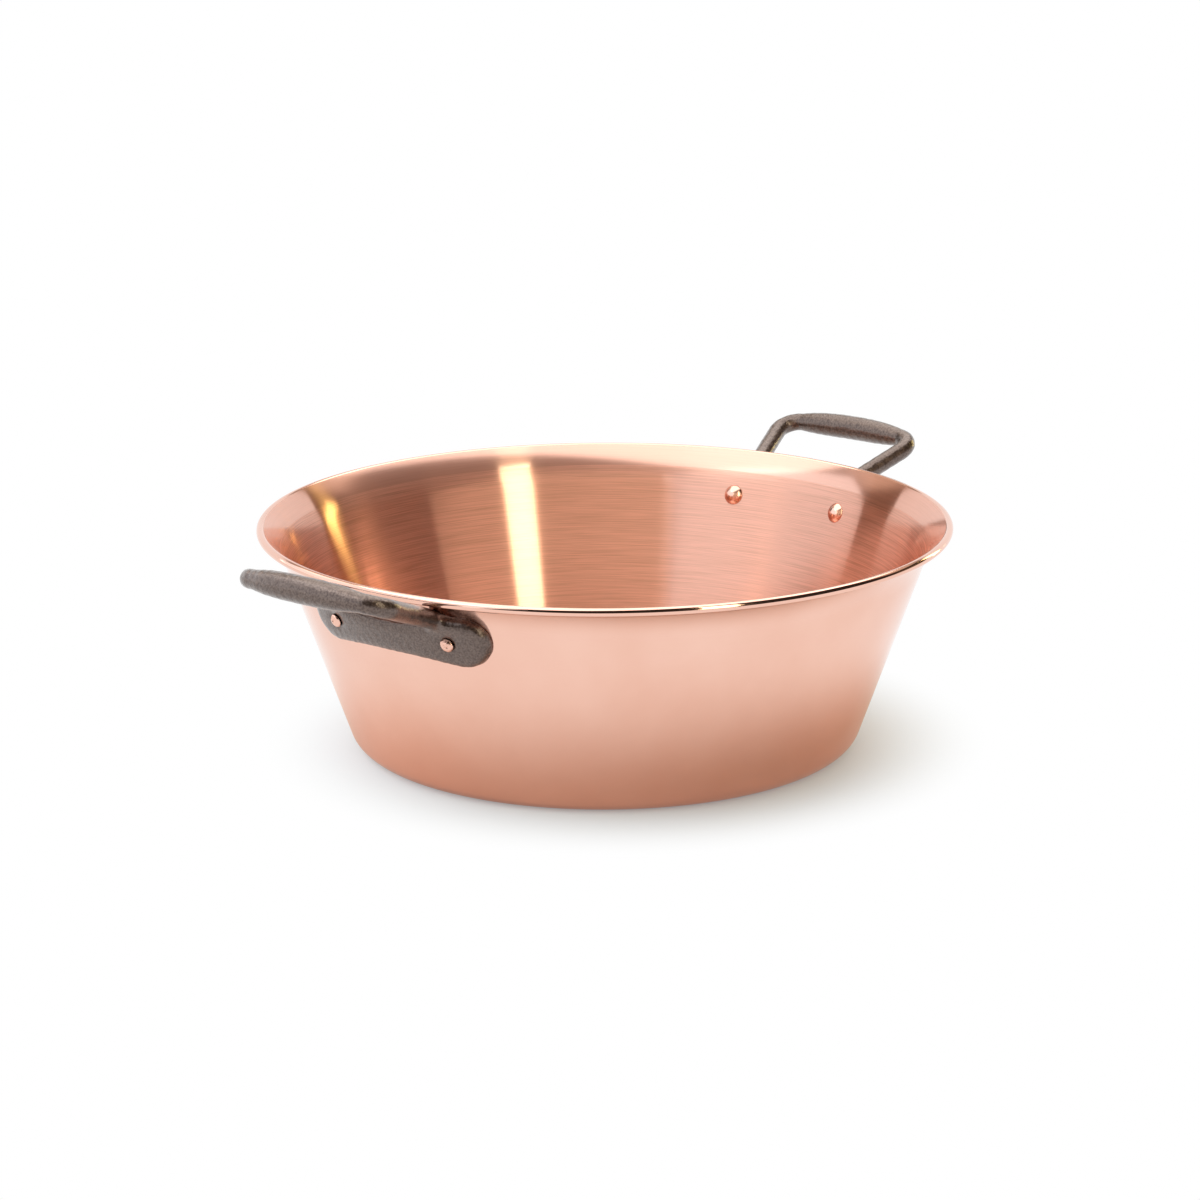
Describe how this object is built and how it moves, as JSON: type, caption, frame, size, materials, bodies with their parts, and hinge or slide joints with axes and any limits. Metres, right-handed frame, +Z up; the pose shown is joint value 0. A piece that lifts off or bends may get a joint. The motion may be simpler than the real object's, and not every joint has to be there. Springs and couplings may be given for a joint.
{
  "type": "jam pan",
  "caption": "Wide open copper preserving pan with sloping sides, a flared and rolled rim, and riveted cast iron loop handles.",
  "frame": {"origin": "centre of the flat base's underside", "axes": "+Z up along the bowl's axis, +X and -X towards the handles, +Y square to the line through them"},
  "size_m": [0.4894, 0.3799, 0.1402],
  "materials": {
    "copper_sheet": "brushed inside, satin outside",
    "copper_rivet": "polished head, hammered end",
    "cast_iron": "fine hammered grey-brown",
    "steel_wire": "drawn, hidden in the rim"
  },
  "bodies": {
    "root": {"pan_body": "copper_sheet", "rim_wire": "steel_wire", "handle_left": "cast_iron", "handle_right": "cast_iron", "rivet_left_back": "copper_rivet", "rivet_left_front": "copper_rivet", "rivet_right_back": "copper_rivet", "rivet_right_front": "copper_rivet"}
  },
  "joints": []
}
